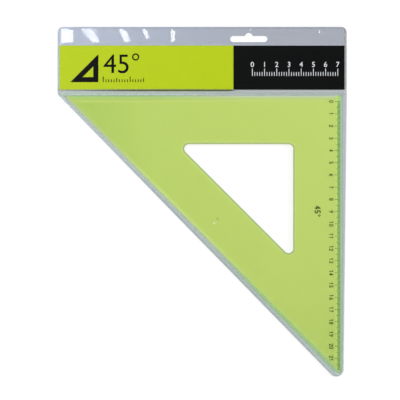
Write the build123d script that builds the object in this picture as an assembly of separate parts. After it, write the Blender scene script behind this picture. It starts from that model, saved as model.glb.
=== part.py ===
"""Drafting triangle of clear lime plastic, kept in a clear hanging sleeve with a header card.

The part lies on its back, in millimetres. X runs along the header card towards the sleeve's
open side, Y runs up towards the hang slot, and Z points out of the front film. The shapes are
drawn from the triangle's right-angled corner, and the finished pieces are then moved so that
the origin lies under the middle of the sleeve, on its back face.
"""

from build123d import *
import math
import os

# Triangle: a 45 degree set square, moulded in one piece
leg = 228.0
plate_thickness = 2.2
plate_corner_radius = 1.8
window_leg_border = 39.7
window_hypotenuse_border = 38.2
window_corner_radius = 3.8
bevel_width = 4.9
bevel_edge_thickness = 1.0
ink_edge_leg_width = 3.7
ink_edge_hypotenuse_width = 2.4
ink_edge_depth = 0.8
gate_diameter = 4.6
gate_depth = 0.25
gate_from_hypotenuse = 16.0

# Scale printed along the bevelled leg
scale_start = 4.9
ink_thickness = 0.05
mark_width = 0.35
mark_edge_gap = 1.2
centimetre_mark_length = 4.5
half_mark_length = 3.4
millimetre_mark_length = 2.4
numeral_height = 3.4
numeral_stroke = 0.55
numeral_pitch = 2.35
numeral_mark_gap = 1.3

# Shape of the numerals, as shares of their bow's radius and in degrees of the pen's turn
one_flag_reach = 0.9
one_flag_drop = 0.8
two_knee_angle = 35
three_bow_angle = 240
four_post_offset = 0.5
four_rail_drop = 0.7
four_rail_end = 1.1
five_hook_angle = 130
five_bow_angle = 280
five_roof_end = 0.8
six_stem_centre = 2.6
seven_foot_offset = 0.3

# Angle printed on the broad border beside the scale
angle_mark_height = 5.0
angle_mark_stroke = 0.8
angle_mark_from_corner = 95.0
degree_ring_radius = 0.63
degree_ring_stroke = 0.56
degree_ring_pitch = 3.1

# Header card
card_height = 36.2
card_thickness = 0.45
card_left_gap = 1.5
card_mouth_gap = 1.8
dark_panel_length = 91.0
dark_panel_edge = 0.1

# Sleeve: two films, welded where they meet and open along the right side
film = 0.3
strip_height = 15.5
divider_height = 4.9
left_tip_margin = 4.7
rim_at_left_tip = 2.5
rim_at_lower_tip = 6.3
mouth_margin = 4.2
mouth_margin_at_tip = 1.4
sleeve_corner_radius = 4.5
sleeve_tip_radius = 5.8
window_film_margin = 0.8
slot_length = 30.5
slot_height = 4.9
slot_bump_radius = 3.25
slot_bump_rise = 1.7
slot_from_top = 10.1

# Clearances inside the sleeve
side_clearance = 0.5
face_clearance = 0.1
plate_wall_run = 1.3
card_wall_run = 0.4

# Places that follow from the sizes, seen from the right-angled corner
card_bottom = divider_height
card_top = card_bottom + card_height
sleeve_top = card_top + strip_height
sleeve_left = -leg - left_tip_margin
card_left = sleeve_left + card_left_gap
card_right = mouth_margin - card_mouth_gap
content_floor = film + face_clearance
plate_top = content_floor + plate_thickness
card_face = content_floor + card_thickness
plate_ceiling = plate_top + ink_thickness + face_clearance
card_ceiling = card_face + ink_thickness + face_clearance
sleeve_front = plate_ceiling + film
root_two = math.sqrt(2)


def right_triangle(size):
    """Sharp 45 degree triangle with its right angle at the origin, towards -X and -Y."""
    return make_face(Polyline((0, 0), (-size, 0), (0, -size), close=True))


def window_outline(margin):
    """Rounded window of the plate, widened by a margin on all three sides."""
    border = window_leg_border - margin
    size = leg - 2 * border - (window_hypotenuse_border - margin) * root_two
    window = Pos(-border, -border) * right_triangle(size)
    return fillet(window.vertices(), window_corner_radius + margin)


def crossing(line_a, line_b):
    """Point where two lines meet, each given by two points."""
    start_a = Vector(*line_a[0])
    along_a = Vector(*line_a[1]) - start_a
    start_b = Vector(*line_b[0])
    along_b = Vector(*line_b[1]) - start_b
    share = (start_b - start_a).cross(along_b).Z / along_a.cross(along_b).Z
    return start_a + along_a * share


def round_corner(outline, place, radius):
    """The outline with the corner that lies nearest to the place rounded off."""
    corner = outline.vertices().sort_by_distance(Vector(place))[0]
    return fillet(corner, radius)


def triangle_plate():
    """Moulded plate with its window, scale bevel, ink edges and gate mark."""
    outline = right_triangle(leg)
    outline = fillet(outline.vertices(), plate_corner_radius)
    blank = outline - window_outline(0)
    plate = extrude(blank, plate_thickness)

    bevel_section = Polyline(
        (0, 0, bevel_edge_thickness),
        (0, 0, plate_thickness),
        (-bevel_width, 0, plate_thickness),
        close=True,
    )
    plate -= extrude(make_face(bevel_section), leg, dir=(0, -1, 0))

    foot_edge = -leg + ink_edge_hypotenuse_width * root_two
    foot = make_face(
        Polyline(
            (0, -ink_edge_leg_width),
            (foot_edge + ink_edge_leg_width, -ink_edge_leg_width),
            (0, foot_edge),
            close=True,
        )
    )
    plate -= extrude(right_triangle(leg) - foot, ink_edge_depth)

    gate_reach = leg / root_two - gate_from_hypotenuse
    gate_place = -gate_reach / root_two
    gate = Pos(gate_place, gate_place, plate_thickness) * Sphere(gate_sphere_radius())
    plate -= Pos(0, 0, gate_sphere_radius() - gate_depth) * gate
    return Pos(0, 0, content_floor) * plate


def gate_sphere_radius():
    """Radius of the ball whose cap is as wide and deep as the gate mark's hollow."""
    return (gate_diameter**2 / 4 + gate_depth**2) / (2 * gate_depth)


def scale_mark(length):
    """One mark at Y 0, running in from the bevelled edge and following its slope."""
    outer = -mark_edge_gap
    inner = outer - length
    places = [outer, inner]
    if inner < -bevel_width:
        places.insert(1, -bevel_width)
    slope = (plate_thickness - bevel_edge_thickness) / bevel_width
    under = []
    for x in places:
        rise = min(plate_thickness, bevel_edge_thickness - slope * x)
        under.append((x, 0, content_floor + rise))
    over = [(x, y, z + ink_thickness) for x, y, z in reversed(under)]
    section = make_face(Polyline(*under, *over, close=True))
    return extrude(section, mark_width / 2, both=True)


def scale_end(length):
    """Last whole millimetre whose mark of that length fits before the hypotenuse."""
    return int(leg - scale_start - mark_edge_gap - length - mark_width / 2)


def scale_marks(length, places):
    """Copies of one mark at the given millimetres of the scale."""
    mark = scale_mark(length)
    return [Pos(0, -scale_start - place, 0) * mark for place in places]


def bar(start, end, stroke):
    """Straight round-ended stroke of a numeral."""
    middle = ((start[0] + end[0]) / 2, (start[1] + end[1]) / 2)
    return SlotCenterPoint(middle, end, stroke)


def bow(centre, radius, start, sweep, stroke):
    """Curved round-ended stroke of a numeral, from an angle in degrees through a sweep."""
    return SlotArc(CenterArc(centre, radius, start, sweep), stroke)


def ring(centre, radius, stroke):
    """Closed round stroke of a numeral."""
    return Pos(*centre) * (Circle(radius + stroke / 2) - Circle(radius - stroke / 2))


def numeral(digit, height, stroke):
    """One upright numeral about the origin, drawn with a pen of the given stroke."""
    r = (height - stroke) / 4
    head = 2 * r
    foot = -2 * r
    if digit == "0":
        loops = [bow((0, r), r, 0, 180, stroke), bow((0, -r), r, 180, 180, stroke)]
        return Sketch() + loops + [bar((x, -r), (x, r), stroke) for x in (-r, r)]
    if digit == "1":
        flag = (-one_flag_reach * r, head - one_flag_drop * r)
        return bar((0, foot), (0, head), stroke) + bar(flag, (0, head), stroke)
    if digit == "2":
        knee = Vector(0, r) + Vector(r, 0).rotate(Axis.Z, -two_knee_angle)
        top_bow = bow((0, r), r, -two_knee_angle, 180 + two_knee_angle, stroke)
        neck = bar((knee.X, knee.Y), (-r, foot), stroke)
        return top_bow + neck + bar((-r, foot), (r, foot), stroke)
    if digit == "3":
        upper = bow((0, r), r, -90, three_bow_angle, stroke)
        return upper + bow((0, -r), r, 90, -three_bow_angle, stroke)
    if digit == "4":
        post_x = four_post_offset * r
        rail_y = -four_rail_drop * r
        post = bar((post_x, foot), (post_x, head), stroke)
        rail = bar((-r, rail_y), (four_rail_end * r, rail_y), stroke)
        return post + rail + bar((-r, rail_y), (post_x, head), stroke)
    if digit == "5":
        hook = Vector(0, -r) + Vector(r, 0).rotate(Axis.Z, five_hook_angle)
        belly = bow((0, -r), r, five_hook_angle, -five_bow_angle, stroke)
        roof = bar((hook.X, head), (five_roof_end * r, head), stroke)
        return roof + bar((hook.X, hook.Y), (hook.X, head), stroke) + belly
    if digit == "6":
        stem_x = six_stem_centre * r
        stem_radius = stem_x + r
        rise = math.degrees(math.asin((head + r) / stem_radius))
        return ring((0, -r), r, stroke) + bow((stem_x, -r), stem_radius, 180 - rise, rise, stroke)
    if digit == "7":
        leg_foot = (-seven_foot_offset * r, foot)
        return bar((-r, head), (r, head), stroke) + bar((r, head), leg_foot, stroke)
    if digit == "8":
        return ring((0, r), r, stroke) + ring((0, -r), r, stroke)
    return Rot(0, 0, 180) * numeral("6", height, stroke)


def scale_numerals():
    """Centimetre numbers beside the marks, turned to be read from the scale's own edge."""
    inks = {}
    for digit in "0123456789":
        inks[digit] = extrude(numeral(digit, numeral_height, numeral_stroke), ink_thickness)
    column = -mark_edge_gap - centimetre_mark_length - numeral_mark_gap - numeral_height / 2
    solids = []
    for place in range(0, scale_end(centimetre_mark_length) + 1, 10):
        digits = str(place // 10)
        for index, digit in enumerate(digits):
            along = (index - (len(digits) - 1) / 2) * numeral_pitch
            seat = Pos(column, -scale_start - place - along, plate_top)
            solids.append(seat * Rot(0, 0, -90) * inks[digit])
    return solids


def angle_mark():
    """The plate's angle in degrees, printed midway between the scale edge and the window."""
    pitch = numeral_pitch * angle_mark_height / numeral_height
    seat = Pos(-window_leg_border / 2, -angle_mark_from_corner, plate_top) * Rot(0, 0, -90)
    degree_y = angle_mark_height / 2 - degree_ring_radius - angle_mark_stroke / 2
    shapes = [
        Pos(-pitch, 0) * numeral("4", angle_mark_height, angle_mark_stroke),
        numeral("5", angle_mark_height, angle_mark_stroke),
        ring((degree_ring_pitch, degree_y), degree_ring_radius, degree_ring_stroke),
    ]
    return [seat * extrude(shape, ink_thickness) for shape in shapes]


def header_card():
    """Flat printed board."""
    corners = [(card_left, card_bottom), (card_right, card_bottom)]
    corners += [(card_right, card_top), (card_left, card_top)]
    card = make_face(Polyline(*corners, close=True))
    return Pos(0, 0, content_floor) * extrude(card, card_thickness)


def card_dark_panel():
    """Dark print over the card's open end."""
    left = card_right - dark_panel_length
    right = card_right - dark_panel_edge
    top = card_top - dark_panel_edge
    bottom = card_bottom + dark_panel_edge
    corners = [(left, bottom), (right, bottom), (right, top), (left, top)]
    panel = make_face(Polyline(*corners, close=True))
    return Pos(0, 0, card_face) * extrude(panel, ink_thickness)


def sleeve_outline():
    """Outer edge of both films: a header over a pocket that follows the hypotenuse."""
    out = -1 / root_two
    left_end = (-leg + rim_at_left_tip * out, rim_at_left_tip * out)
    lower_end = (rim_at_lower_tip * out, -leg + rim_at_lower_tip * out)
    shoulder = (mouth_margin, card_bottom)
    mouth_end = (mouth_margin_at_tip, -leg)
    left_side = [(sleeve_left, 0), (sleeve_left, sleeve_top)]
    left_corner = crossing(left_side, (left_end, lower_end))
    tip = crossing((shoulder, mouth_end), (left_end, lower_end))
    top_left = (sleeve_left, sleeve_top)
    top_right = (mouth_margin, sleeve_top)
    outline = make_face(Polyline(top_left, top_right, shoulder, tip, left_corner, close=True))
    outline = round_corner(outline, top_left, sleeve_corner_radius)
    outline = round_corner(outline, top_right, sleeve_corner_radius)
    outline = round_corner(outline, left_corner, sleeve_corner_radius)
    return round_corner(outline, tip, sleeve_tip_radius)


def film_cuts():
    """Hang slot above the triangle's centre of gravity, and the window, through both films."""
    slot = SlotOverall(slot_length, slot_height)
    slot += Pos(0, slot_bump_rise) * Circle(slot_bump_radius)
    slot = Pos(-leg / 3, sleeve_top - slot_from_top) * slot
    window = window_outline(window_film_margin)
    return extrude(slot, sleeve_front) + extrude(window, sleeve_front)


def pocket(path, wall_run, ceiling, skin):
    """Space over the back film, or with a skin the front film's outside of that space."""
    wall_angle = math.atan2(ceiling - film, wall_run)
    swell = skin * math.tan(wall_angle / 2)
    foot = Pos(0, 0, film + skin) * offset(path, side_clearance + wall_run + swell)
    head = Pos(0, 0, ceiling + skin) * offset(path, side_clearance + swell)
    return loft([foot, head], ruled=True)


def pocket_paths():
    """What the plate and the card sweep in plan as each slides out of the open side."""
    outside = mouth_margin + sleeve_tip_radius
    tip_cut = plate_corner_radius * root_two
    plate_path = make_face(
        Polyline(
            (-leg, 0),
            (outside, 0),
            (outside, tip_cut - leg),
            (-tip_cut, tip_cut - leg),
            close=True,
        )
    )
    card_path = make_face(
        Polyline(
            (card_left, card_bottom),
            (outside, card_bottom),
            (outside, card_top),
            (card_left, card_top),
            close=True,
        )
    )
    return plate_path, card_path


def sleeve_back_film():
    """Flat film with the hang slot and the window cut through."""
    return extrude(sleeve_outline(), film) - film_cuts()


def sleeve_front_film():
    """Film raised over the plate and the card, and flat where it is welded to the back."""
    plate_path, card_path = pocket_paths()
    sheet = Pos(0, 0, film) * extrude(sleeve_outline(), film)
    sheet += pocket(plate_path, plate_wall_run, plate_ceiling, film)
    sheet += pocket(card_path, card_wall_run, card_ceiling, film)
    sheet -= pocket(plate_path, plate_wall_run, plate_ceiling, 0)
    sheet -= pocket(card_path, card_wall_run, card_ceiling, 0)
    sheet &= extrude(sleeve_outline(), sleeve_front)
    return sheet - film_cuts()


centimetres = range(0, scale_end(centimetre_mark_length) + 1, 10)
half_centimetres = range(5, scale_end(half_mark_length) + 1, 10)
millimetres = [place for place in range(scale_end(millimetre_mark_length) + 1) if place % 5]
nodes = {
    "sleeve_back_film": [sleeve_back_film()],
    "sleeve_front_film": [sleeve_front_film()],
    "header_card": [header_card()],
    "card_dark_panel": [card_dark_panel()],
    "triangle_plate": [triangle_plate()],
    "centimetre_marks": scale_marks(centimetre_mark_length, centimetres),
    "half_centimetre_marks": scale_marks(half_mark_length, half_centimetres),
    "millimetre_marks": scale_marks(millimetre_mark_length, millimetres),
    "scale_numerals": scale_numerals(),
    "angle_mark": angle_mark(),
}

middle = sleeve_outline().bounding_box().center()
os.makedirs("parts", exist_ok=True)
for name, shapes in nodes.items():
    solids = []
    for shape in shapes:
        solids += (Pos(-middle.X, -middle.Y, 0) * shape).solids()
    node = solids[0] if len(solids) == 1 else Compound(children=solids)
    export_step(node, f"parts/{name}.step")
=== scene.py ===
import math

import bmesh
import bpy
import numpy as np
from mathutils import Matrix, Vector
from mathutils.geometry import delaunay_2d_cdt


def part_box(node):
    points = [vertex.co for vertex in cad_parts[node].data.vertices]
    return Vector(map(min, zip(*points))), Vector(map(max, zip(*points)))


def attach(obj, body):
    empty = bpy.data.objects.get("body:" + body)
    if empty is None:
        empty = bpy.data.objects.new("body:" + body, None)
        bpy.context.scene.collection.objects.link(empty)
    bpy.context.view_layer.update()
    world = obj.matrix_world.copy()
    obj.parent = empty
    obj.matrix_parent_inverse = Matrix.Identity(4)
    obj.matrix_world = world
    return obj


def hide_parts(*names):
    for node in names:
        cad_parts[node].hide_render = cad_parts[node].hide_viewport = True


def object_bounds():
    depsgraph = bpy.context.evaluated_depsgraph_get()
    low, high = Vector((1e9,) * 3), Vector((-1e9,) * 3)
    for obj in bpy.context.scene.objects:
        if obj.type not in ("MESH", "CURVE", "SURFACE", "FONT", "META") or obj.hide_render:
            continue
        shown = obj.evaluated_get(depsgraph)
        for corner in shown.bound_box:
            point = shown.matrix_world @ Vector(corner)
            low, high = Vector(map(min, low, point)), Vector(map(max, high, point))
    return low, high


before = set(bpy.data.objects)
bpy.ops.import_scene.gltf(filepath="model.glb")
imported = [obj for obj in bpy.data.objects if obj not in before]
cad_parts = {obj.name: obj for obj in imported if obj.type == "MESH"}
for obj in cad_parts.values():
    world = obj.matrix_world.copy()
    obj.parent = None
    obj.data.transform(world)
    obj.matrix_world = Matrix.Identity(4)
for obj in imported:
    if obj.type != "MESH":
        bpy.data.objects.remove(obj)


# Sleeve, back film. A flat sheet of clear film, faintly blue where it lies on white, cut to the
# outline of the header and the pocket, with the hang slot and the window punched through it.
# The front film is welded onto it all round, apart from the open right side.
cad_low, cad_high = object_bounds()
mm = 0.001
header_foot = 94.0 * mm
pocket_head = 91.2 * mm
band_foot = 86.4 * mm
cast_end = 60.0 * mm
mouth_start = 115.5 * mm


def screen_colour(red, green, blue):
    """A colour as it is read on a screen, 0 to 255, for a colour socket."""
    shares = [value / 255 for value in (red, green, blue)]
    linear = [s / 12.92 if s <= 0.04045 else ((s + 0.055) / 1.055) ** 2.4 for s in shares]
    return (*linear, 1.0)


def add_node(tree, kind, inputs=None, **settings):
    """Adds a node. Each input is a plain value, or another node's output to link from."""
    node = tree.nodes.new(kind)
    for name, value in settings.items():
        setattr(node, name, value)
    for name, value in (inputs or {}).items():
        if isinstance(value, bpy.types.NodeSocket):
            tree.links.new(value, node.inputs[name])
        else:
            node.inputs[name].default_value = value
    return node


def math_node(tree, operation, *values, clamp=False):
    """The output of a Math node on two or three values or sockets."""
    inputs = dict(enumerate(values))
    return add_node(tree, "ShaderNodeMath", inputs, operation=operation, use_clamp=clamp).outputs[0]


def mix_colours(tree, share, *ends):
    """The output of a mix, share 0 to 1, of two colours, each a socket or a screen colour."""
    first, second = [
        end if isinstance(end, bpy.types.NodeSocket) else screen_colour(*end) for end in ends
    ]
    inputs = {0: share, 6: first, 7: second}
    return add_node(tree, "ShaderNodeMix", inputs, data_type="RGBA").outputs[2]


def part_way(tree, value, start, end):
    """How far a value has come from a start to an end, 0 to 1."""
    inputs = {"Value": value, "From Min": start, "From Max": end}
    return add_node(tree, "ShaderNodeMapRange", inputs).outputs["Result"]


def own_place(tree):
    """Each point's place in the piece's own frame."""
    return add_node(tree, "ShaderNodeTexCoord").outputs["Object"]


def blank_material(name):
    """A new node material that holds only its output."""
    material = bpy.data.materials.new(name)
    material.use_nodes = True
    material.node_tree.nodes.clear()
    add_node(material.node_tree, "ShaderNodeOutputMaterial", name="Surface")
    return material


def show_shader(material, shader):
    """Links a shader node to the material's output."""
    tree = material.node_tree
    tree.links.new(shader.outputs[0], tree.nodes["Surface"].inputs["Surface"])


def set_material(piece, material):
    """Gives a piece one material all over."""
    piece.data.materials.clear()
    piece.data.materials.append(material)


def group_tree(name, inputs, outputs):
    """A shader node group with named number inputs and outputs, and its sockets to link to."""
    tree = bpy.data.node_groups.new(name, "ShaderNodeTree")
    for way, labels in (("INPUT", inputs), ("OUTPUT", outputs)):
        for label in labels:
            tree.interface.new_socket(label, in_out=way, socket_type="NodeSocketFloat")
    given = add_node(tree, "NodeGroupInput").outputs
    return tree, given, add_node(tree, "NodeGroupOutput").inputs


def noise(tree, place, scale, detail=2.0, roughness=0.5):
    """A noise of that scale, 0 to 1."""
    inputs = {"Vector": place, "Scale": scale, "Detail": detail, "Roughness": roughness}
    return add_node(tree, "ShaderNodeTexNoise", inputs).outputs["Fac"]


def polished_plastic_wear():
    """Handling marks of clear polished plastic: soft smudges and fine straight scratches."""
    tree, given, result = group_tree(
        "polished plastic wear",
        ("Smudge Scale", "Scratch Scale", "Polish", "Dulling"),
        ("Roughness", "Smudge"),
    )
    place = own_place(tree)
    smudge = noise(tree, place, given["Smudge Scale"], detail=3.0, roughness=0.55)
    turn = (0, 0, math.radians(28))
    stretch = {"Vector": place, "Rotation": turn, "Scale": (1.0, 0.04, 1.0)}
    drawn = add_node(tree, "ShaderNodeMapping", stretch).outputs["Vector"]
    line = part_way(tree, noise(tree, drawn, given["Scratch Scale"]), 0.6, 0.72)
    marks = math_node(tree, "MULTIPLY_ADD", line, 0.6, smudge)
    roughness = math_node(tree, "MULTIPLY_ADD", marks, given["Dulling"], given["Polish"])
    tree.links.new(roughness, result["Roughness"])
    tree.links.new(smudge, result["Smudge"])
    return tree


plastic_wear = polished_plastic_wear()


def back_film_material():
    """Grey-blue clear film whose cast shifts a little over the sheet, with some painted lime light.
    """
    material = blank_material("back film")
    tree = material.node_tree
    sizes = {"Smudge Scale": 18.0, "Scratch Scale": 500.0, "Polish": 0.1, "Dulling": 0.12}
    wear = add_node(tree, "ShaderNodeGroup", sizes, node_tree=plastic_wear).outputs
    axes = add_node(tree, "ShaderNodeSeparateXYZ", {"Vector": own_place(tree)}).outputs
    along = part_way(tree, axes["X"], cad_low.x, cast_end)
    pocket = part_way(tree, axes["Y"], header_foot, pocket_head)
    band = part_way(tree, axes["Y"], band_foot, band_foot + 1 * mm)
    mouth = part_way(tree, axes["X"], mouth_start, mouth_start + 1 * mm)
    header = mix_colours(tree, along, (180, 190, 213), (160, 164, 177))
    lower = mix_colours(tree, along, (178, 188, 189), (174, 182, 184))
    # Painted light: the band between the plate and the card is greener, as if lit by the lime
    # plate.
    under = mix_colours(tree, along, (175, 187, 156), (175, 180, 170))
    lower = mix_colours(tree, band, lower, under)
    header = mix_colours(tree, mouth, header, (138, 138, 130))
    cast = mix_colours(tree, pocket, header, lower)
    smudged = math_node(tree, "MULTIPLY", wear["Smudge"], 0.3)
    cast = mix_colours(tree, smudged, cast, (184, 190, 206))
    looks = {"Base Color": cast, "Roughness": wear["Roughness"], "IOR": 1.5, "Alpha": 0.5}
    sheet = add_node(tree, "ShaderNodeBsdfPrincipled", looks)
    show_shader(material, sheet)
    return material


back_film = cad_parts["sleeve_back_film"]
set_material(back_film, back_film_material())


# Triangle plate. A 45 degree set square, injection moulded in clear lime plastic with a window,
# a bevel under the scale, thinned ink edges on the other two sides and a shallow gate mark.
# It lies loose in the sleeve's lower pocket and slides out to the right.
_, plate_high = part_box("triangle_plate")
corner_x = plate_high.x
corner_y = plate_high.y
plate_leg = 228.0 * mm
window_leg_border = 39.7 * mm
window_hypotenuse_border = 38.2 * mm
window_radius = 3.8 * mm
gate_from_corner = (plate_leg / math.sqrt(2) - 16.0 * mm) / math.sqrt(2)
# Places of the painted highlight and the painted shade beside the gate mark's middle.
gate_highlight = (corner_x - gate_from_corner - 1.7 * mm, corner_y - gate_from_corner - 1.6 * mm)
gate_shade = (corner_x - gate_from_corner + 1.1 * mm, corner_y - gate_from_corner + 2.2 * mm)
edge_round = 0.15 * mm
lime_body_share = 0.75
lime_shade_share = 0.35
tip_green = (184, 212, 104)


def new_object(name, data):
    """A new object in the scene with the data it is to hold."""
    piece = bpy.data.objects.new(name, data)
    bpy.context.scene.collection.objects.link(piece)
    return piece


def rounded_plate():
    """The moulded plate with the small rounding that a mould leaves on every edge."""
    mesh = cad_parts["triangle_plate"].data.copy()
    shape = bmesh.new()
    shape.from_mesh(mesh)
    bmesh.ops.remove_doubles(shape, verts=shape.verts, dist=0.001 * mm)
    flat = math.radians(0.5)
    bmesh.ops.dissolve_limit(shape, angle_limit=flat, verts=shape.verts, edges=shape.edges)
    shape.to_mesh(mesh)
    shape.free()
    piece = new_object("plate_blank", mesh)
    rounding = piece.modifiers.new("edge rounding", "BEVEL")
    rounding.width = edge_round
    rounding.segments = 2
    rounding.limit_method = "ANGLE"
    rounding.angle_limit = math.radians(30)
    plate = as_plain_mesh(piece, "lime_plate")
    for face in plate.data.polygons:
        face.use_smooth = abs(face.normal.z) < 0.9
    return plate


def as_plain_mesh(source, name):
    """The evaluated source as a plain mesh object of that name. The source is removed."""
    bpy.context.view_layer.update()
    depsgraph = bpy.context.evaluated_depsgraph_get()
    mesh = bpy.data.meshes.new_from_object(source.evaluated_get(depsgraph), depsgraph=depsgraph)
    bpy.data.objects.remove(source)
    mesh.name = name
    return new_object(name, mesh)


def corner_distance(tree, first, second, angle):
    """Distance from the corner of two sides, whose normals meet at an angle, and 0 beside it."""
    turn = math.cos(angle)
    square = math_node(tree, "MULTIPLY", second, second)
    square = math_node(tree, "MULTIPLY_ADD", first, first, square)
    both = math_node(tree, "MULTIPLY", first, second)
    square = math_node(tree, "MULTIPLY_ADD", both, -2 * turn, square)
    reach = math_node(tree, "SQRT", math_node(tree, "DIVIDE", square, math.sin(angle) ** 2))
    for near, far in ((first, second), (second, first)):
        beyond = math_node(tree, "MULTIPLY_ADD", far, -turn, near)
        reach = math_node(tree, "MULTIPLY", reach, math_node(tree, "GREATER_THAN", beyond, 0.0))
    return reach


def plate_edge_distances():
    """Distances in millimetres from the plate's sides, the window and the gate's painted light and
    shade.
    """
    kinds = ("Scale Leg", "Top Leg", "Hypotenuse", "Window", "Gate Highlight", "Gate Shade")
    tree, _, result = group_tree("plate edge distances", (), kinds)
    axes = add_node(tree, "ShaderNodeSeparateXYZ", {"Vector": own_place(tree)}).outputs
    per_mm = 1 / mm
    from_scale = math_node(tree, "MULTIPLY_ADD", axes["X"], -per_mm, corner_x * per_mm)
    from_top = math_node(tree, "MULTIPLY_ADD", axes["Y"], -per_mm, corner_y * per_mm)
    both = math_node(tree, "ADD", from_scale, from_top)
    slope = -1 / math.sqrt(2)
    from_hypotenuse = math_node(tree, "MULTIPLY_ADD", both, slope, -slope * plate_leg * per_mm)
    radius = window_radius * per_mm
    past = [
        math_node(tree, "SUBTRACT", border * per_mm + radius, distance)
        for border, distance in (
            (window_leg_border, from_scale),
            (window_leg_border, from_top),
            (window_hypotenuse_border, from_hypotenuse),
        )
    ]
    from_window = math_node(tree, "MAXIMUM", math_node(tree, "MAXIMUM", past[0], past[1]), past[2])
    for first, second, angle in ((0, 1, 90), (0, 2, 135), (1, 2, 135)):
        corner = corner_distance(tree, past[first], past[second], math.radians(angle))
        from_window = math_node(tree, "MAXIMUM", from_window, corner)
    from_window = math_node(tree, "SUBTRACT", from_window, radius)
    distances = [from_scale, from_top, from_hypotenuse, from_window]
    for x, y in (gate_highlight, gate_shade):
        aside = math_node(tree, "MULTIPLY_ADD", axes["X"], per_mm, -x * per_mm)
        above = math_node(tree, "MULTIPLY_ADD", axes["Y"], per_mm, -y * per_mm)
        upward = math_node(tree, "MULTIPLY", above, above)
        square = math_node(tree, "MULTIPLY_ADD", aside, aside, upward)
        distances.append(math_node(tree, "SQRT", square))
    for kind, distance in zip(kinds, distances):
        tree.links.new(distance, result[kind])
    return tree


def fill_ramp(ramp, stops):
    """Sets a colour ramp to a list of places, 0 to 1, each with its colour."""
    marks = ramp.color_ramp.elements
    while len(marks) < len(stops):
        marks.new(1.0)
    for mark, (place, colour) in zip(marks, stops):
        mark.position = place
        mark.color = colour


def edge_tint(tree, base, distance, stops):
    """The base colour, tinted along an edge. A stop is millimetres, screen colour and strength."""
    reach = stops[-1][0]
    share = math_node(tree, "DIVIDE", distance, reach, clamp=True)
    ramp = add_node(tree, "ShaderNodeValToRGB", {"Fac": share})
    marks = [(place / reach, (*screen_colour(*rgb)[:3], level)) for place, rgb, level in stops]
    fill_ramp(ramp, marks)
    return mix_colours(tree, ramp.outputs["Alpha"], base, ramp.outputs["Color"])


def mix_shaders(tree, share, first, second):
    """A mix of two shader nodes, where share 0 is the first and 1 the second."""
    inputs = {0: share, 1: first.outputs[0], 2: second.outputs[0]}
    return add_node(tree, "ShaderNodeMixShader", inputs)


def tinted_window(tree, lime, edges):
    """The lime with painted shade and light along the window's edge: a grey line and a pale band.
    """
    stops = [
        (0.0, (158, 174, 130), 0.95),
        (0.8, (166, 182, 130), 0.9),
        (1.4, (216, 232, 140), 0.9),
        (2.4, (218, 232, 136), 0.6),
        (4.0, (214, 227, 127), 0.0),
    ]
    return edge_tint(tree, lime, edges["Window"], stops)


def tinted_top(tree, lime, edges, toward_scale):
    """The lime with painted light and shade on the top edge, green at the tip and paler to the
    corner.
    """
    tip_stops = [
        (0.0, (172, 200, 150), 0.95),
        (0.7, (178, 208, 142), 0.95),
        (1.4, (190, 221, 138), 0.9),
        (3.3, (197, 215, 121), 0.9),
        (4.5, (215, 229, 130), 0.9),
        (6.6, (212, 227, 125), 0.0),
    ]
    corner_stops = [
        (0.0, (210, 215, 208), 0.95),
        (0.5, (212, 220, 200), 0.95),
        (1.2, (212, 222, 180), 0.95),
        (2.0, (211, 223, 160), 0.95),
        (2.8, (206, 220, 136), 0.9),
        (3.8, (216, 232, 140), 0.9),
        (6.0, (212, 227, 125), 0.0),
    ]
    at_tip = edge_tint(tree, lime, edges["Top Leg"], tip_stops)
    at_corner = edge_tint(tree, lime, edges["Top Leg"], corner_stops)
    return mix_colours(tree, part_way(tree, toward_scale, 0.3, 0.65), at_tip, at_corner)


def tinted_hypotenuse(tree, lime, edges, toward_scale):
    """The lime with painted light and shade on the long edge: grey at the left, pale, green at the
    foot.
    """
    left_stops = [
        (0.0, (204, 213, 198), 0.95),
        (0.8, (202, 213, 176), 0.95),
        (1.7, (200, 215, 152), 0.9),
        (2.6, (200, 217, 138), 0.8),
        (4.4, (202, 220, 118), 0.0),
    ]
    middle_stops = [
        (0.0, (204, 214, 172), 0.95),
        (0.8, (211, 224, 158), 0.95),
        (1.7, (219, 235, 152), 0.9),
        (2.6, (217, 235, 142), 0.8),
        (4.4, (207, 225, 122), 0.0),
    ]
    foot_stops = [
        (0.0, (190, 220, 150), 0.95),
        (0.8, (202, 224, 140), 0.9),
        (1.7, (214, 235, 141), 0.85),
        (2.6, (213, 232, 133), 0.7),
        (4.0, (205, 223, 118), 0.0),
    ]
    at_left = edge_tint(tree, lime, edges["Hypotenuse"], left_stops)
    at_middle = edge_tint(tree, lime, edges["Hypotenuse"], middle_stops)
    at_foot = edge_tint(tree, lime, edges["Hypotenuse"], foot_stops)
    upper = mix_colours(tree, part_way(tree, toward_scale, 0.14, 0.34), at_left, at_middle)
    return mix_colours(tree, part_way(tree, toward_scale, 0.56, 0.7), upper, at_foot)


def tinted_scale(tree, lime, edges):
    """The lime with painted light and shade on the scale edge, where the bevel thins the plate."""
    stops = [
        (0.0, (172, 206, 188), 0.95),
        (0.7, (170, 208, 172), 0.95),
        (1.2, (178, 217, 128), 0.95),
        (3.5, (190, 222, 122), 0.95),
        (4.3, (216, 234, 144), 0.95),
        (6.0, (212, 228, 126), 0.0),
    ]
    return edge_tint(tree, lime, edges["Scale Leg"], stops)


def tinted_gate(tree, lime, edges):
    """The lime with a painted highlight in the gate mark and painted shade beside it."""
    pale = (244, 249, 200)
    highlight_stops = [(0.0, pale, 0.95), (0.7, pale, 0.7), (1.4, pale, 0.0)]
    lime = edge_tint(tree, lime, edges["Gate Highlight"], highlight_stops)
    dim = (174, 194, 104)
    shade_stops = [(0.0, dim, 0.8), (0.8, dim, 0.6), (1.5, dim, 0.0)]
    return edge_tint(tree, lime, edges["Gate Shade"], shade_stops)


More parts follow.
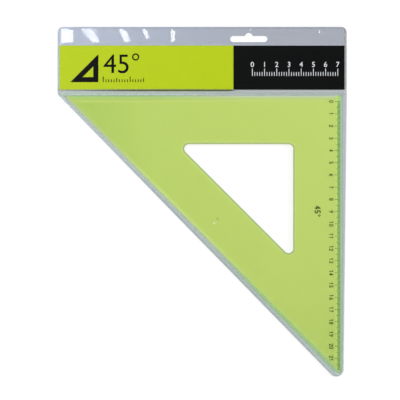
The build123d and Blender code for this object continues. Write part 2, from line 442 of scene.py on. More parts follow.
def lime_plastic_material():
    """Clear lime plastic: part of the light passes, tinted, and part is scattered in its body."""
    material = blank_material("lime plastic")
    tree = material.node_tree
    edges = add_node(tree, "ShaderNodeGroup", node_tree=plate_edge_distances()).outputs
    sizes = {"Smudge Scale": 14.0, "Scratch Scale": 700.0, "Polish": 0.1, "Dulling": 0.1}
    wear = add_node(tree, "ShaderNodeGroup", sizes, node_tree=plastic_wear).outputs
    toward_scale = part_way(tree, edges["Scale Leg"], plate_leg / mm, 0.0)
    # Painted shade: the lime is darker towards the left tip.
    lime = mix_colours(tree, toward_scale, (200, 219, 114), (217, 231, 130))
    lime = mix_colours(tree, wear["Smudge"], lime, (209, 225, 122))
    for leg, strength in (("Scale Leg", 0.6), ("Top Leg", 0.25)):
        from_tip = math_node(tree, "SUBTRACT", plate_leg / mm, edges[leg])
        tip_stops = [(18.0, tip_green, strength), (75.0, tip_green, 0.0)]
        lime = edge_tint(tree, lime, from_tip, tip_stops)
    # Painted light and shade along the window, the edges and the gate: refraction, thin edges,
    # shadow.
    lime = tinted_window(tree, lime, edges)
    lime = tinted_top(tree, lime, edges, toward_scale)
    lime = tinted_hypotenuse(tree, lime, edges, toward_scale)
    lime = tinted_scale(tree, lime, edges)
    lime = tinted_gate(tree, lime, edges)
    looks = {"Base Color": lime, "Roughness": wear["Roughness"], "IOR": 1.49}
    body = add_node(tree, "ShaderNodeBsdfPrincipled", looks)
    clear = add_node(tree, "ShaderNodeBsdfTransparent", {"Color": screen_colour(238, 250, 196)})
    shade = add_node(tree, "ShaderNodeLightPath").outputs["Is Shadow Ray"]
    change = lime_shade_share - lime_body_share
    share = math_node(tree, "MULTIPLY_ADD", shade, change, lime_body_share)
    show_shader(material, mix_shaders(tree, share, clear, body))
    return material


plate = rounded_plate()
set_material(plate, lime_plastic_material())
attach(plate, "triangle")
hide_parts("triangle_plate")


# Printed scale and angle. Dark green ink, screen printed on the plate's upper face: millimetre,
# half centimetre and centimetre marks down the bevel, their numbers, and the angle of the tips.
ink_sheen = 0.4


def print_surface():
    """Ink on a smooth ground: faint mottle in its colour and a fine tooth in its surface."""
    kinds = ("Mottle", "Roughness", "Tooth")
    tree, given, result = group_tree("print surface", ("Mottle Scale", "Tooth Scale"), kinds)
    place = own_place(tree)
    mottle = noise(tree, place, given["Mottle Scale"])
    tooth = noise(tree, place, given["Tooth Scale"], detail=1.0)
    roughness = math_node(tree, "MULTIPLY_ADD", tooth, 0.15, ink_sheen)
    for kind, value in zip(kinds, (mottle, roughness, tooth)):
        tree.links.new(value, result[kind])
    return tree


ink_surface = print_surface()


def printed_face(tree, surface, colour, tooth, shine):
    """A printed colour with the sheen and the fine tooth of its surface."""
    relief = {"Height": surface["Tooth"], "Strength": tooth, "Distance": 0.02 * mm}
    looks = {
        "Base Color": colour,
        "Roughness": surface["Roughness"],
        "Specular IOR Level": shine,
        "Normal": add_node(tree, "ShaderNodeBump", relief).outputs["Normal"],
    }
    return add_node(tree, "ShaderNodeBsdfPrincipled", looks)


def print_material(name, thin, full, mottle_scale, shine=0.12):
    """A printed colour that runs from its thin to its full tone with the mottle of the ink."""
    material = blank_material(name)
    tree = material.node_tree
    sizes = {"Mottle Scale": mottle_scale, "Tooth Scale": 2500.0}
    surface = add_node(tree, "ShaderNodeGroup", sizes, node_tree=ink_surface).outputs
    colour = mix_colours(tree, surface["Mottle"], thin, full)
    show_shader(material, printed_face(tree, surface, colour, tooth=0.15, shine=shine))
    return material


scale_ink = print_material("scale ink", thin=(36, 86, 2), full=(20, 62, 0), mottle_scale=900.0)
for name in (
    "centimetre_marks",
    "half_centimetre_marks",
    "millimetre_marks",
    "scale_numerals",
    "angle_mark",
):
    set_material(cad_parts[name], scale_ink)


# Header card. Thin board in the sleeve's upper pocket, printed lime over its whole face, with a
# black panel over the open end. The cut edges and the back show the bare board.
card_low, card_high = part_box("header_card")
panel_low, panel_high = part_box("card_dark_panel")


def card_material():
    """Lime print on the face of a pale grey board, which is bare at its edges and back."""
    material = blank_material("lime card")
    tree = material.node_tree
    sizes = {"Mottle Scale": 60.0, "Tooth Scale": 1800.0}
    surface = add_node(tree, "ShaderNodeGroup", sizes, node_tree=ink_surface).outputs
    lime = mix_colours(tree, surface["Mottle"], (189, 206, 24), (185, 203, 17))
    board = mix_colours(tree, surface["Tooth"], (196, 194, 186), (220, 218, 210))
    place = add_node(tree, "ShaderNodeTexCoord").outputs
    along = add_node(tree, "ShaderNodeSeparateXYZ", {"Vector": place["Object"]}).outputs["X"]
    bleed = math_node(tree, "GREATER_THAN", along, panel_low.x)
    lime = mix_colours(tree, bleed, lime, (9, 10, 10))
    up = add_node(tree, "ShaderNodeSeparateXYZ", {"Vector": place["Normal"]}).outputs["Z"]
    printed = math_node(tree, "GREATER_THAN", up, 0.5)
    colour = mix_colours(tree, printed, board, lime)
    show_shader(material, printed_face(tree, surface, colour, tooth=0.2, shine=0.12))
    return material


set_material(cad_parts["header_card"], card_material())
card_black = print_material(
    "card black", thin=(9, 10, 10), full=(6, 7, 7), mottle_scale=80.0, shine=0.05
)
set_material(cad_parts["card_dark_panel"], card_black)


# Print on the card's lime end. A set square and its angle in black, over a row of plain marks,
# all laid on the board in one thin film of ink.
ink_film = 0.02 * mm
emblem_left = card_low.x + 9.0 * mm
emblem_foot = card_low.y + 6.2 * mm
emblem_leg = 23.0 * mm
emblem_border = 4.2 * mm
angle_left = card_low.x + 36.0 * mm
angle_foot = card_low.y + 13.7 * mm
angle_height = 15.5 * mm
capital_share = 0.7


def filled_outline(name, outlines):
    """A flat printed shape, one ink film thick, bounded by closed outlines in plan."""
    curve = bpy.data.curves.new(name, "CURVE")
    curve.dimensions = "2D"
    curve.fill_mode = "BOTH"
    curve.extrude = ink_film / 2
    for outline in outlines:
        spline = curve.splines.new("POLY")
        spline.points.add(len(outline) - 1)
        for point, (x, y) in zip(spline.points, outline):
            point.co = (x, y, 0, 1)
        spline.use_cyclic_u = True
    return as_plain_mesh(new_object(name + "_outline", curve), name)


def printed_text(name, words, height):
    """Words as a flat printed shape, one ink film thick. Height is that of a capital."""
    curve = bpy.data.curves.new(name, "FONT")
    curve.body = words
    curve.size = height / capital_share
    curve.extrude = ink_film / 2
    return as_plain_mesh(new_object(name + "_text", curve), name)


def lay_print(piece, x, y, ground):
    """Moves a printed shape, in its mesh, to its place on the ground that carries it."""
    low = min(vertex.co.z for vertex in piece.data.vertices)
    for vertex in piece.data.vertices:
        vertex.co += Vector((x, y, ground - low))


def set_square_outlines(leg, border):
    """A right-angled triangle and its window, the right angle at the lower right."""
    inner = leg - border * (2 + math.sqrt(2))
    outer_points = [(0, 0), (leg, 0), (leg, leg)]
    right = leg - border
    inner_points = [(right, border), (right, border + inner), (right - inner, border)]
    return [outer_points, inner_points]


def tick_row_nodes():
    """Geometry nodes for a row of printed marks, longer at each fifth and tenth place."""
    tree = bpy.data.node_groups.new("printed tick row", "GeometryNodeTree")
    sizes = ("Pitch", "Width", "Thickness", "Short", "Middle", "Long")
    sockets = {"Count": "NodeSocketInt", **{size: "NodeSocketFloat" for size in sizes}}
    sockets["Ink"] = "NodeSocketMaterial"
    for label, kind in sockets.items():
        tree.interface.new_socket(label, in_out="INPUT", socket_type=kind)
    tree.interface.new_socket("Geometry", in_out="OUTPUT", socket_type="NodeSocketGeometry")
    given = add_node(tree, "NodeGroupInput").outputs
    result = add_node(tree, "NodeGroupOutput")
    step = add_node(tree, "ShaderNodeCombineXYZ", {"X": given["Pitch"]}).outputs[0]
    row = add_node(tree, "GeometryNodeMeshLine", {"Count": given["Count"], "Offset": step})
    index = add_node(tree, "GeometryNodeInputIndex").outputs[0]
    fifth = math_node(tree, "COMPARE", math_node(tree, "MODULO", index, 5.0), 0.0, 0.1)
    tenth = math_node(tree, "COMPARE", math_node(tree, "MODULO", index, 10.0), 0.0, 0.1)
    length = given["Short"]
    for turn, longer in ((fifth, given["Middle"]), (tenth, given["Long"])):
        length = add_node(tree, "ShaderNodeMix", {0: turn, 2: length, 3: longer}).outputs[0]
    half = math_node(tree, "MULTIPLY", length, 0.5)
    lift = add_node(tree, "ShaderNodeCombineXYZ", {"Y": half}).outputs[0]
    raised = {"Geometry": row.outputs["Mesh"], "Offset": lift}
    standing = add_node(tree, "GeometryNodeSetPosition", raised).outputs["Geometry"]
    unit = {"X": given["Width"], "Y": 1.0, "Z": given["Thickness"]}
    size = add_node(tree, "ShaderNodeCombineXYZ", unit).outputs[0]
    tick = add_node(tree, "GeometryNodeMeshCube", {"Size": size}).outputs["Mesh"]
    stretch = add_node(tree, "ShaderNodeCombineXYZ", {"X": 1.0, "Y": length, "Z": 1.0}).outputs[0]
    each = {"Points": standing, "Instance": tick, "Scale": stretch}
    ticks = add_node(tree, "GeometryNodeInstanceOnPoints", each).outputs["Instances"]
    real = add_node(tree, "GeometryNodeRealizeInstances", {"Geometry": ticks}).outputs["Geometry"]
    ink = {"Geometry": real, "Material": given["Ink"]}
    inked = add_node(tree, "GeometryNodeSetMaterial", ink).outputs["Geometry"]
    tree.links.new(inked, result.inputs["Geometry"])
    return tree


tick_row = tick_row_nodes()


def printed_ticks(name, ink, **sizes):
    """A row of printed marks as a plain mesh, from the tick row's own inputs."""
    source = new_object(name + "_row", bpy.data.meshes.new(name))
    modifier = source.modifiers.new("tick row", "NODES")
    modifier.node_group = tick_row
    values = {"Ink": ink, "Thickness": ink_film, **sizes}
    for socket in tick_row.interface.items_tree:
        if socket.in_out == "INPUT":
            modifier[socket.identifier] = values[socket.name]
    return as_plain_mesh(source, name)


emblem = filled_outline("card_set_square", set_square_outlines(emblem_leg, emblem_border))
lay_print(emblem, emblem_left, emblem_foot, card_high.z)
angle_print = printed_text("card_angle", "45°", angle_height)
lay_print(angle_print, angle_left, angle_foot, card_high.z)
emblem_ticks = printed_ticks(
    "card_lime_ticks",
    card_black,
    Count=16,
    Pitch=2.2 * mm,
    Width=0.7 * mm,
    Short=2.4 * mm,
    Middle=3.4 * mm,
    Long=4.6 * mm,
)
lay_print(emblem_ticks, angle_left, emblem_foot, card_high.z)
for piece in (emblem, angle_print, emblem_ticks):
    set_material(piece, card_black)
    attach(piece, "card")


# Print on the card's black end. A centimetre rule in white ink, printed over the black panel,
# with its numbers over the marks.
centimetre = 10 * mm
rule_left = panel_low.x + 15.5 * mm
rule_foot = panel_low.y + 11.2 * mm
rule_centimetres = 7
numeral_height = 4.2 * mm
numeral_gap = 1.4 * mm
long_tick = 6.0 * mm

card_white = print_material(
    "card white", thin=(236, 238, 238), full=(246, 247, 247), mottle_scale=90.0
)
rule = printed_ticks(
    "card_rule",
    card_white,
    Count=rule_centimetres * 5 + 1,
    Pitch=2.0 * mm,
    Width=0.45 * mm,
    Short=3.2 * mm,
    Middle=long_tick,
    Long=long_tick,
)
lay_print(rule, rule_left, rule_foot, panel_high.z)
rule_pieces = [rule]
for number in range(rule_centimetres + 1):
    digit = printed_text(f"card_rule_{number}", str(number), numeral_height)
    edges = [vertex.co.x for vertex in digit.data.vertices]
    middle = (min(edges) + max(edges)) / 2
    digit_x = rule_left + number * centimetre - middle
    lay_print(digit, digit_x, rule_foot + long_tick + numeral_gap, panel_high.z)
    rule_pieces.append(digit)
for piece in rule_pieces:
    set_material(piece, card_white)
    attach(piece, "card")


# Sleeve, front film. Clear film, heat formed over the plate and the card and welded to the back
# film with a raised bead. The header strip above the card is loose and has puckered into ridges.
film = 0.3 * mm
weld_gap = 0.03 * mm
plate_ceiling = 2.75 * mm
card_ceiling = 1.0 * mm
side_clearance = 0.5 * mm
plate_wall_run = 1.3 * mm
card_wall_run = 0.4 * mm
tip_cut = 1.8 * math.sqrt(2) * mm
bead_width = 1.1 * mm
bead_height = 0.25 * mm
sag = 0.05 * mm
sag_lengths = (17.0 * mm, 23.0 * mm)

# Lines along the card, the painted shadow under its foot, and the share of its length where the
# lime ends.
card_shadow_gap = 0.5 * mm
card_shadow_width = 1.1 * mm
lip_gap = 1.6 * mm
fold_gap = 1.3 * mm
fold_width = 1.0 * mm
card_fade = 8.0 * mm
lime_span = (0.60, 0.62)

# Painted glow and light round the plate, and haze that is partly painted light. The spans are
# shares of its legs, down from the top edge, or along that edge for top_span.
glow_width = 4.6 * mm
rim_glow = (0.35, 0.72)
rim_haze_and_light = 0.8
outer_rim = 2.2 * mm
light_reach = 12.0 * mm
wall_foot_gap = 2.4 * mm
wall_foot_width = 1.1 * mm
edge_light = 3.2 * mm
green_span = (0.48, 0.80)
dim_span = (0.66, 0.78)
grey_span = (0.15, 0.45)
top_span = (0.35, 0.75)

# Spacing of the film's points in plan.
edge_step = 2.0 * mm
strip_step = 0.7 * mm
strip_row = 0.6 * mm
panel_step = 7.0 * mm
slot_step = 0.8 * mm
plate_rings = np.linspace(-0.4 * mm, glow_width, 21)
card_rings = np.linspace(-0.9 * mm, side_clearance + card_wall_run + 0.9 * mm, 16)
edge_rings = [depth * mm for depth in (0.3, 0.6, 0.9, 1.2, 1.6)]

# Ridges of the strip, in millimetres: the middle of the rising side, lean, rising run, how much
# that run widens to the top, falling run and height. The last two values are the shares of the
# strip's height at which the ridge starts and ends.
strip_ridges = [
    (-110.5, 0.00, 11.0, 0.0, 8.0, 1.20, -0.20, 1.15),
    (-91.0, -0.15, 13.4, 1.15, 6.0, 1.12, -0.25, 1.30),
    (-63.0, -0.42, 8.0, 0.0, 9.0, 1.00, -0.12, 1.08),
    (-45.2, -0.42, 4.8, 0.0, 8.0, 0.70, 0.12, 1.10),
    (-23.9, 0.00, 4.6, 0.0, 10.0, 0.72, -0.06, 1.06),
    (38.4, 0.20, 2.6, 0.0, 9.0, 0.44, 0.60, 1.20),
    (95.8, 0.10, 2.2, 0.0, 8.0, 0.52, 0.42, 1.08),
]
ridge_end = 0.32
ridge_foot = 0.1


def flat_loops(mesh):
    """Closed outlines of a flat piece in plan, the longest first, from its underside."""
    follows = {}
    for triangle in mesh.polygons:
        corners = [mesh.vertices[i].co for i in triangle.vertices]
        if max(corner.z for corner in corners) > film / 2:
            continue
        keys = [(round(corner.x, 7), round(corner.y, 7)) for corner in corners]
        for start, end in zip(keys, keys[1:] + keys[:1]):
            if follows.get(end) and start in follows[end]:
                follows[end].remove(start)
            else:
                follows.setdefault(start, set()).add(end)
    follows = {start: ends.pop() for start, ends in follows.items() if ends}
    loops = []
    while follows:
        start = next(iter(follows))
        loop = [start]
        while loop[-1] in follows:
            loop.append(follows.pop(loop[-1]))
        loops.append(np.array(loop[:-1]))
    return sorted(loops, key=len_of_loop, reverse=True)


def len_of_loop(loop):
    """Length of a closed loop of points."""
    return np.linalg.norm(np.roll(loop, -1, axis=0) - loop, axis=1).sum()


def spaced(loop, step):
    """The loop with points added so that none are further apart than the step."""
    points = []
    for start, end in zip(loop, np.roll(loop, -1, axis=0)):
        count = max(1, math.ceil(np.linalg.norm(end - start) / step))
        points += [start + (end - start) * i / count for i in range(count)]
    return np.array(points)


def distance_from(points, loop):
    """Distance of each point from a closed loop, below zero inside it."""
    nearest = np.full(len(points), np.inf)
    inside = np.zeros(len(points), bool)
    for start, end in zip(loop, np.roll(loop, -1, axis=0)):
        along = end - start
        share = np.clip((points - start) @ along / (along @ along), 0, 1)
        gap = np.linalg.norm(points - start - share[:, None] * along, axis=1)
        nearest = np.minimum(nearest, gap)
        level = (start[1] > points[:, 1]) != (end[1] > points[:, 1])
        rise = along[1] if along[1] else 1.0
        inside ^= level & (points[:, 0] < start[0] + (points[:, 1] - start[1]) * along[0] / rise)
    return np.where(inside, -nearest, nearest)


def ring_around(path, distance, step):
    """Points at a distance round a convex path that runs anticlockwise."""
    points = []
    for before, corner, after in zip(np.roll(path, 1, axis=0), path, np.roll(path, -1, axis=0)):
        start = math.atan2(before[0] - corner[0], corner[1] - before[1])
        end = math.atan2(corner[0] - after[0], after[1] - corner[1])
        sweep = (end - start) % (2 * math.pi)
        count = max(2, math.ceil(sweep / math.radians(15)))
        for i in range(count + 1):
            angle = start + sweep * i / count
            points.append(corner + distance * np.array((math.cos(angle), math.sin(angle))))
    return spaced(np.array(points), step)


def ease(share):
    """A smooth step from 0 to 1."""
    share = np.clip(share, 0, 1)
    return share * share * (3 - 2 * share)


outline, window, slot = flat_loops(back_film.data)
sleeve_right = outline[:, 0].max()
outside = sleeve_right + 10 * mm
path_foot = corner_y - plate_leg + tip_cut
plate_path = np.array(
    [
        (corner_x - plate_leg, corner_y),
        (corner_x - tip_cut, path_foot),
        (outside, path_foot),
        (outside, corner_y),
    ]
)
card_path = np.array(
    [
        (card_low.x, card_low.y),
        (outside, card_low.y),
        (outside, card_high.y),
        (card_low.x, card_high.y),
    ]
)


def film_lift(points, path, run):
    """How far the film is raised over a pocket, from 0 on the weld to 1 over what it holds."""
    return ease(1 - (distance_from(points, path) - side_clearance) / run)


def pocket_lifts(points):
    """How far the film is raised over the plate's pocket and over the card's."""
    plate_lift = film_lift(points, plate_path, plate_wall_run)
    return plate_lift, film_lift(points, card_path, card_wall_run)


def on_film(points, edge_gap, hole_gap):
    """Which points lie on the film, with gaps to its outline and to its two holes."""
    keep = distance_from(points, outline) < -edge_gap
    for hole in (window, slot):
        keep &= distance_from(points, hole) > hole_gap
    return keep


def ridge_heights(points):
    """Height of the strip's ridges above the flat film."""
    strip_foot = card_high.y + side_clearance + card_wall_run
    strip_head = outline[:, 1].max() - bead_width
    share = (points[:, 1] - strip_foot) / (strip_head - strip_foot)
    heights = np.zeros(len(points))
    for place, lean, rise, widening, fall, height, low, high in strip_ridges:
        x = points[:, 0] / mm - place - lean * (points[:, 1] - (strip_foot + strip_head) / 2) / mm
        run = rise * (1 + widening * (np.clip(share, 0, 1) - 0.5))
        flank = ease((x - rise / 2) / run + 1) * (1 - ease((x - rise / 2) / fall))
        ends = ease((share - low) / ridge_end) * ease((high - share) / ridge_end)
        heights = np.maximum(heights, height * mm * flank * ends)
    return heights * ease(share / ridge_foot)


def front_film_points():
    """Points in plan for the film, with the edges that the mesh has to keep."""
    loops = [spaced(outline, edge_step), spaced(window, edge_step), spaced(slot, slot_step)]
    points = []
    edges = []
    for loop in loops:
        first = len(points)
        points += list(loop)
        edges += [(first + i, first + (i + 1) % len(loop)) for i in range(len(loop))]
    soft = []
    for distance in plate_rings:
        soft += list(ring_around(plate_path, distance, edge_step))
    for distance in card_rings:
        soft += list(ring_around(card_path, distance, edge_step))
    for depth in edge_rings:
        soft += list(inset(spaced(outline, edge_step), depth))
    fine_foot = card_high.y + 2 * mm
    for y in np.arange(fine_foot, outline[:, 1].max(), strip_row):
        soft += [(x, y) for x in np.arange(outline[:, 0].min(), sleeve_right, strip_step)]
    for y in np.arange(outline[:, 1].min(), fine_foot, panel_step):
        soft += [(x, y) for x in np.arange(outline[:, 0].min(), sleeve_right, panel_step)]
    soft = np.array(soft)
    soft = soft[on_film(soft, edge_gap=0.2 * mm, hole_gap=0.3 * mm)]
    return [Vector(p) for p in points] + [Vector(p) for p in soft], edges


def inset(loop, depth):
    """The loop drawn in by a depth, along the bisectors of its corners."""
    ahead = np.roll(loop, -1, axis=0) - np.roll(loop, 1, axis=0)
    normal = np.stack((-ahead[:, 1], ahead[:, 0]), axis=1)
    normal /= np.linalg.norm(normal, axis=1)[:, None]
    trial = loop + normal * depth
    inward = distance_from(trial, outline).mean() < 0
    return trial if inward else loop - normal * depth


def film_height(points):
    """Height of the film's lower face: the pockets, the sag over the plate, ridges and bead."""
    plate_lift, card_lift = pocket_lifts(points)
    floor = film + weld_gap
    height = floor + plate_lift * (plate_ceiling - floor) + card_lift * (card_ceiling - floor)
    swing = 1.3 * np.sin(points[:, 1] / sag_lengths[1])
    wave = np.sin(points[:, 0] / sag_lengths[0] + swing)
    height -= sag * plate_lift * (0.5 + 0.5 * wave)
    height += ridge_heights(points)
    from_edge = -distance_from(points, outline)
    bead = np.clip(1 - (2 * from_edge / bead_width - 1) ** 2, 0, 1)
    return height + broad_flange(points) * bead_height * bead


def broad_flange(points):
    """1 where the welded flange is broad enough for its bead, 0 where the film is free."""
    to_plate = distance_from(points, plate_path) - side_clearance - plate_wall_run
    to_card = distance_from(points, card_path) - side_clearance - card_wall_run
    from_edge = -distance_from(points, outline)
    flange = from_edge + np.clip(np.minimum(to_plate, to_card), 0, None)
    welded = 1 - np.maximum(*pocket_lifts(points))
    return welded * ease((flange - 0.6 * mm) / (1.2 * mm))


def film_normals(points):
    """Upward normals of the film, from the slope of its height."""
    step = 0.02 * mm
    slopes = []
    for shift in ((step, 0), (0, step)):
        rise = film_height(points + shift) - film_height(points - np.array(shift))
        slopes.append(rise / (2 * step))
    normals = np.column_stack((-slopes[0], -slopes[1], np.ones(len(points))))
    return normals / np.linalg.norm(normals, axis=1)[:, None]


def between(share, span):
    """A smooth step from 0 at the span's start to 1 at its end."""
    return ease((share - span[0]) / (span[1] - span[0]))


def line_at(places, middle, width):
    """A soft line, 1 at its middle and 0 from one width away."""
    return ease(1 - np.abs(places - middle) / width)


def below_card(points):
    """0 level with the card and 1 from a little way below it."""
    return ease((card_low.y - points[:, 1]) / card_fade)


def share_of_card(points):
    """How far along the card each point is, 0 at its left end and 1 at its right end."""
    return (points[:, 0] - card_low.x) / (card_high.x - card_low.x)


def weld_marks(points):
    """The weld's bead, the frosted line beside it, and the free edge of the raised film."""
    from_edge = -distance_from(points, outline)
    broad = broad_flange(points)
    bead = broad * line_at(from_edge, bead_width, 0.8 * bead_width)
    bead *= (1 - 0.75 * below_card(points)) * (0.6 + 0.4 * ease(share_of_card(points)))
    line = broad * line_at(from_edge, 2.1 * bead_width, 0.6 * bead_width)
    lifted = np.maximum(*pocket_lifts(points))
    free_edge = 0.6 * lifted * ease((0.6 * mm - from_edge) / (0.3 * mm))
    return bead, line, free_edge


def card_marks(points):
    """The folds over and under the card, the painted shadow at its foot, and painted light off its
    lime.
    """
    height = points[:, 1]
    across = share_of_card(points)
    from_card = distance_from(points, card_path)
    lime_end = 1 - between(across, lime_span)
    fold = line_at(height, card_high.y + fold_gap, fold_width)
    lip = line_at(height, card_low.y - lip_gap, fold_width)
    # Painted shadow: a dark line under the card's foot, on the lime end only.
    card_shadow = ease(1.7 * (1 - np.abs(height - card_low.y + card_shadow_gap) / card_shadow_width))
    card_shadow *= (0.2 + 0.8 * ease(across / 0.3)) * lime_end
    beside = ease(1 + from_card / (0.4 * mm)) * ease(1 - from_card / (1.6 * mm))
    # Painted light: lime light on the film beside the card's lime end.
    light = 0.5 * beside * lime_end * ease((height - card_low.y) / mm)
    return fold, lip, card_shadow, beside, light


def rim_marks(points):
    """Painted glow and lime light on the film round the plate, haze partly painted light, grey
    outer rim.
    """
    from_edge = -distance_from(points, outline)
    from_plate = distance_from(points, plate_path)
    past_slope = corner_x - points[:, 0] + corner_y - points[:, 1] - plate_leg
    rim = ease(past_slope / mm)
    drop = (corner_y - points[:, 1]) / plate_leg
    along = 1 - (corner_x - points[:, 0]) / plate_leg
    lower = between(drop, green_span)
    foot = between(drop, dim_span)
    outer = ease(1 - from_edge / outer_rim) * rim * between(drop, grey_span)
    strength = 1 - (0.45 + 0.55 * foot) * rim
    strength *= 1 - 0.25 * (1 - rim) * between(along, top_span)
    strength *= 1 - ease((points[:, 0] - corner_x + 3 * mm) / (4 * mm))
    glow = ease(0.2 + from_plate / (0.7 * mm)) * ease(1 - from_plate / glow_width) * strength
    # Painted light: the pale flange and the bump at the wall's foot lift the plate's shade on the
    # rim.
    level = rim_glow[0] + (rim_glow[1] - rim_glow[0]) * ease(drop)
    level *= ease(past_slope / ((1 + 1.2 * foot) * mm)) * (1 - 0.5 * outer)
    level += 0.2 * line_at(from_plate, wall_foot_gap, wall_foot_width) * rim * foot
    glow = np.maximum(glow, level * below_card(points))
    # Partly painted light: this haze on the rim also lifts the plate's shadow there.
    haze_and_painted_light = rim_haze_and_light * (1 - lower) * rim * below_card(points) * (1 - outer)
    # Painted light: lime light from the plate on the film beside its lower edges.
    light = ease(1 + from_plate / (0.5 * mm)) * ease(1 - from_plate / edge_light)
    light *= ease(1 + past_slope / mm) * lower
    return glow, haze_and_painted_light, outer, light


def film_marks(points):
    """What shows on the film at each point: welds, frosted lines, painted shadow, glow and light.
    """
    bead, line, free_edge = weld_marks(points)
    fold, lip, card_shadow, beside, card_light = card_marks(points)
    glow, haze_and_painted_light, outer, plate_light = rim_marks(points)
    edge = ease(2 + 2 * distance_from(points, outline) / bead_width)
    return {
        "weld": np.maximum.reduce((bead, free_edge, 0.4 * outer)),
        "frost_and_light": np.maximum.reduce((line, fold, lip, haze_and_painted_light)),
        "card_shadow": card_shadow,
        "glow": glow,
        "plate_light": plate_light,
        "card_light": card_light,
        "dull": np.maximum.reduce((bead, glow, beside, edge)),
    }


def formed_front_film():
    """The film's lower face as a mesh, raised over what it holds, then given its thickness."""
    points, edges = front_film_points()
    same_place = 1e-7
    places, _, triangles, *_ = delaunay_2d_cdt(points, edges, [], 0, same_place)
    plan = np.array([tuple(p) for p in places])
    triangles = np.array(triangles)
    middles = plan[triangles].mean(axis=1)
    keep = on_film(middles, edge_gap=0.0, hole_gap=0.0)
    used, sheet = np.unique(triangles[keep], return_inverse=True)
    return thick_sheet("front_film", plan[used], sheet.reshape(-1, 3))


def thick_sheet(name, plan, sheet):
    """A closed film from triangles in plan, shaded with the normals of the formed film."""
    top = len(plan)
    height = film_height(plan)
    lower = np.column_stack((plan, height))
    upper = np.column_stack((plan, height + film))
    sides = sheet[:, [0, 1, 1, 2, 2, 0]].reshape(-1, 2)
    follows = set(map(tuple, sides.tolist()))
    rim = [(a, b) for a, b in follows if (b, a) not in follows]
    faces = sheet[:, ::-1].tolist() + (sheet + top).tolist()
    faces += [(a, b, top + b, top + a) for a, b in rim]
    mesh = bpy.data.meshes.new(name)
    mesh.from_pydata(np.concatenate((lower, upper)).tolist(), [], faces)
    for label, values in film_marks(plan).items():
        mark = mesh.attributes.new(label, "FLOAT", "POINT")
        mark.data.foreach_set("value", np.concatenate((values, values)))
    mesh.shade_smooth()
    mesh.set_sharp_from_angle(angle=math.radians(50))
    normals = film_normals(plan)
    under = -normals[sheet[:, ::-1].ravel()]
    over = normals[sheet.ravel()]
    unset = np.zeros((4 * len(rim), 3))
    mesh.normals_split_custom_set(np.concatenate((under, over, unset)).tolist())
    return new_object(name, mesh)


def film_mark(tree, label):
    """One of the marks on the film's points, as a value in its material."""
    return add_node(tree, "ShaderNodeAttribute", attribute_name=label).outputs["Fac"]


def in_pocket(tree, place, piece):
    """1 while a sliding piece lies in its pocket, falling to 0 as it is pulled out."""
    beside_piece = add_node(tree, "ShaderNodeTexCoord", object=piece).outputs["Object"]
    ends = {0: place, 1: beside_piece}
    pulled = add_node(tree, "ShaderNodeVectorMath", ends, operation="DISTANCE").outputs["Value"]
    return part_way(tree, pulled, light_reach, 0.0)


def front_film_material():
    """Clear film: mirror-like where it catches a light, hazy and darker along its welds, with
    painted light.
    """
    material = blank_material("front film")
    tree = material.node_tree
    sizes = {"Smudge Scale": 22.0, "Scratch Scale": 600.0, "Polish": 0.03, "Dulling": 0.06}
    wear = add_node(tree, "ShaderNodeGroup", sizes, node_tree=plastic_wear).outputs
    facing = add_node(tree, "ShaderNodeLayerWeight", {"Blend": 0.5}).outputs["Facing"]
    grazing = math_node(tree, "POWER", facing, 5.0)
    reflected = math_node(tree, "MULTIPLY_ADD", grazing, 0.96, 0.04)
    polish = math_node(tree, "MULTIPLY_ADD", film_mark(tree, "dull"), -0.95, 1.0)
    reflected = math_node(tree, "MULTIPLY", reflected, polish)
    clear = add_node(tree, "ShaderNodeBsdfTransparent", {"Color": screen_colour(253, 254, 255)})
    place = own_place(tree)
    height = add_node(tree, "ShaderNodeSeparateXYZ", {"Vector": place}).outputs["Y"]
    strip = part_way(tree, height, card_high.y, card_high.y + 1 * mm)
    worked = math_node(tree, "MULTIPLY_ADD", strip, 0.09, wear["Roughness"])
    gloss = add_node(tree, "ShaderNodeBsdfGlossy", {"Roughness": worked})
    sheet = mix_shaders(tree, reflected, clear, gloss)
    plate_in = in_pocket(tree, place, plate)
    card_in = in_pocket(tree, place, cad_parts["header_card"])
    frost_and_light = film_mark(tree, "frost_and_light")
    glow = math_node(tree, "MULTIPLY", film_mark(tree, "glow"), plate_in)
    card_shadow = math_node(tree, "MULTIPLY", film_mark(tree, "card_shadow"), card_in)
    plate_light = math_node(tree, "MULTIPLY", film_mark(tree, "plate_light"), plate_in)
    card_light = math_node(tree, "MULTIPLY", film_mark(tree, "card_light"), card_in)
    spill = math_node(tree, "MAXIMUM", plate_light, card_light)
    cloud_and_painted_light = mix_colours(tree, wear["Smudge"], (128, 132, 148), (140, 144, 160))
    cloud_and_light_share = math_node(tree, "MULTIPLY", film_mark(tree, "weld"), 0.28)
    # Painted light and shade in the haze: glow and lime spill for light, the dark olive for shadow.
    for mark, colour, share in (
        (frost_and_light, (226, 230, 240), 0.14),
        (glow, (222, 244, 230), 0.36),
        (spill, (184, 236, 122), 0.3),
        (card_shadow, (88, 95, 28), 0.75),
    ):
        cloud_and_painted_light = mix_colours(tree, mark, cloud_and_painted_light, colour)
        cloud_and_light_share = math_node(tree, "MULTIPLY_ADD", mark, share, cloud_and_light_share, clamp=True)
    looks = {"Base Color": cloud_and_painted_light, "Roughness": 0.35, "IOR": 1.5}
    haze_and_painted_light = add_node(tree, "ShaderNodeBsdfPrincipled", looks)
    show_shader(material, mix_shaders(tree, cloud_and_light_share, sheet, haze_and_painted_light))
    return material


front_film = formed_front_film()
set_material(front_film, front_film_material())
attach(front_film, "sleeve")
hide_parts("sleeve_front_film")


# Studio. A white table, a soft box up and to the left, a wider one lower at the right, and
# pale walls under a dark ceiling, so that the flat film mirrors next to nothing into the camera.
floor_size = 8.0
floor_drop = 0.4 * mm
floor_glow = 0.7
wall_levels = [(0.0, 1.0), (0.5, 0.75), (0.88, 0.06), (1.0, 0.05)]
camera_place = (-1.72 * mm, 1.33 * mm, 910.9 * mm)
focal_length = 100
sensor_width = 36


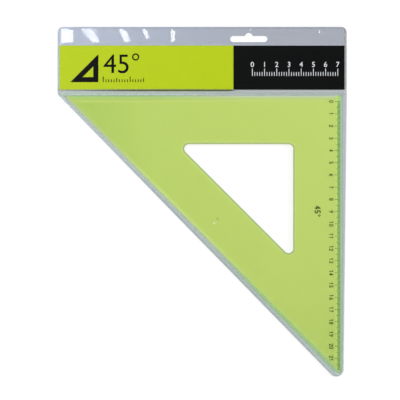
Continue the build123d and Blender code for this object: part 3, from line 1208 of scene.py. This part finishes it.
def floor_material():
    """White table that reads as white to the camera, and still takes a shadow."""
    material = blank_material("white table")
    tree = material.node_tree
    grain = noise(tree, own_place(tree), scale=40.0)
    white = mix_colours(tree, grain, (246, 246, 246), (250, 250, 250))
    table = add_node(tree, "ShaderNodeBsdfDiffuse", {"Color": white})
    glow = add_node(tree, "ShaderNodeEmission", {"Color": (1, 1, 1, 1), "Strength": 1.0})
    path = add_node(tree, "ShaderNodeLightPath").outputs
    seen = math_node(tree, "MAXIMUM", path["Is Camera Ray"], path["Is Glossy Ray"])
    seen = math_node(tree, "MAXIMUM", seen, path["Is Transmission Ray"])
    share = math_node(tree, "MULTIPLY", seen, floor_glow)
    show_shader(material, mix_shaders(tree, share, table, glow))
    return material


def soft_box(name, place, length, width, power):
    """A long lamp that faces the middle of the sleeve, its length level with the table."""
    lamp = bpy.data.lights.new(name, "AREA")
    lamp.shape = "RECTANGLE"
    lamp.size = length
    lamp.size_y = width
    lamp.energy = power
    box = new_object(name, lamp)
    box.location = place
    box.rotation_mode = "QUATERNION"
    box.rotation_quaternion = (-Vector(place)).to_track_quat("-Z", "Y")


floor_mesh = bpy.data.meshes.new("table")
half = floor_size / 2
floor_corners = [(-half, -half), (half, -half), (half, half), (-half, half)]
floor_mesh.from_pydata([(x, y, -floor_drop) for x, y in floor_corners], [], [(0, 1, 2, 3)])
floor = new_object("table", floor_mesh)
set_material(floor, floor_material())

soft_box("key box", place=(-0.45, 0.25, 0.80), length=0.62, width=0.36, power=6.1)
soft_box("fill box", place=(0.95, 0.10, 0.55), length=0.60, width=0.60, power=7.3)

world = bpy.data.worlds.new("studio walls")
world.use_nodes = True
bpy.context.scene.world = world
walls = world.node_tree
direction = add_node(walls, "ShaderNodeTexCoord").outputs["Generated"]
height = add_node(walls, "ShaderNodeSeparateXYZ", {"Vector": direction}).outputs["Z"]
shade = add_node(walls, "ShaderNodeValToRGB", {"Fac": height})
fill_ramp(shade, [(place, (level, level, level, 1)) for place, level in wall_levels])
background = walls.nodes["Background"]
walls.links.new(shade.outputs["Color"], background.inputs["Color"])
background.inputs["Strength"].default_value = 1.0

lens = bpy.data.cameras.new("camera")
lens.lens = focal_length
lens.sensor_width = sensor_width
camera = new_object("camera", lens)
camera.location = camera_place
bpy.context.scene.camera = camera
bpy.context.scene.view_settings.view_transform = "Standard"
